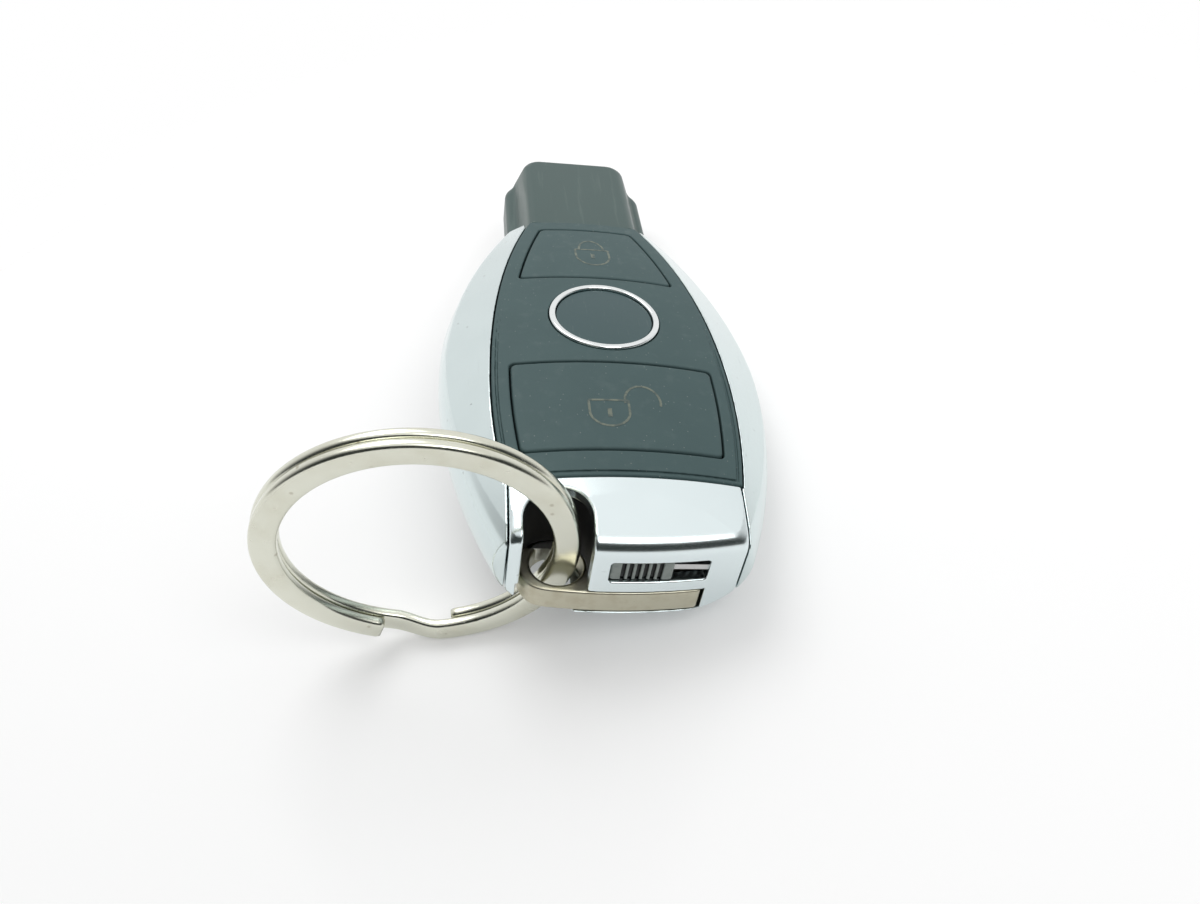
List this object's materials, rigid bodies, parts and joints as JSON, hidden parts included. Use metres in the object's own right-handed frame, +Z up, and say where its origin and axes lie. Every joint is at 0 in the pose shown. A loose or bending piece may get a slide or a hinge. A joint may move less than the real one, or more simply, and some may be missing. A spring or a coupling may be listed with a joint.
{
  "type": "car key fob",
  "caption": "Remote car key fob with plated side trims, push buttons, a plug-in nose, a release slide, a pull-out emergency key and its split ring.",
  "frame": {"origin": "on the flat rear face, on the centre line, at the widest station of the casing", "axes": "+X to the right seen from above, +Y towards the nose, +Z up through the front panel"},
  "size_m": [0.0618, 0.086, 0.0354],
  "materials": {
    "satin_chrome": "satin plated plastic",
    "slate_plastic": "fine matte texture",
    "nose_plastic": "smooth, worn to a satin",
    "black_plastic": "moulded",
    "bright_chrome": "polished",
    "badge_black": "glossy, bare",
    "grey_plastic": "ribbed",
    "nickel": "nickel plated",
    "steel": "stamped",
    "silicone": "soft",
    "board": "solder mask",
    "component": "moulded",
    "lamp": "clear",
    "copper": "enamelled wire",
    "contact": "gold plated"
  },
  "bodies": {
    "casing": {"nose_cap": "nose_plastic", "carrier": "black_plastic", "left_side_trim": "satin_chrome", "right_side_trim": "satin_chrome", "tail_cap": "satin_chrome", "front_panel": "slate_plastic", "button_mat": "silicone", "badge_ring": "bright_chrome", "badge_disc": "badge_black", "circuit_board": "board", "lock_switch": "component", "unlock_switch": "component", "controller_chip": "component", "crystal": "steel", "infrared_emitter": "lamp", "infrared_receiver": "component", "power_coil": "copper", "coin_cell": "steel", "plus_contact": "contact", "minus_contact": "contact", "slide_rail": "steel", "release_spring": "steel"},
    "lock_button": {"lock_button": "slate_plastic"},
    "unlock_button": {"unlock_button": "slate_plastic"},
    "rear_cover": {"rear_cover": "slate_plastic"},
    "slide": {"release_slide": "grey_plastic"},
    "emergency_key": {"key_head": "nickel", "key_blade": "steel"},
    "ring": {"key_ring": "nickel"}
  },
  "joints": [
    {"name": "lock_button_press", "type": "slide", "parent": "casing", "child": "lock_button", "axis": [0, 0, -1], "range_m": [0, 0.0004], "stiffness_N_per_m": 3000},
    {"name": "unlock_button_press", "type": "slide", "parent": "casing", "child": "unlock_button", "axis": [0, 0, -1], "range_m": [0, 0.0004], "stiffness_N_per_m": 3000},
    {"name": "release_slide_shift", "type": "slide", "parent": "casing", "child": "slide", "axis": [1, 0, 0], "range_m": [0, 0.004], "stiffness_N_per_m": 300, "deforming": ["release_spring"]},
    {"name": "emergency_key_pull", "type": "slide", "parent": "casing", "child": "emergency_key", "axis": [0, -1, 0], "range_m": [0, 0.05]},
    {"name": "key_ring_swing", "type": "hinge", "parent": "emergency_key", "child": "ring", "pos_m": [-0.0073, -0.0275, 0.00225], "axis": [0, 0, 1], "range_deg": [0, 90]},
    {"name": "rear_cover_open", "type": "hinge", "parent": "casing", "child": "rear_cover", "pos_m": [0, 0.032, 0.00065], "axis": [1, 0, 0], "range_deg": [0, 25]}
  ]
}
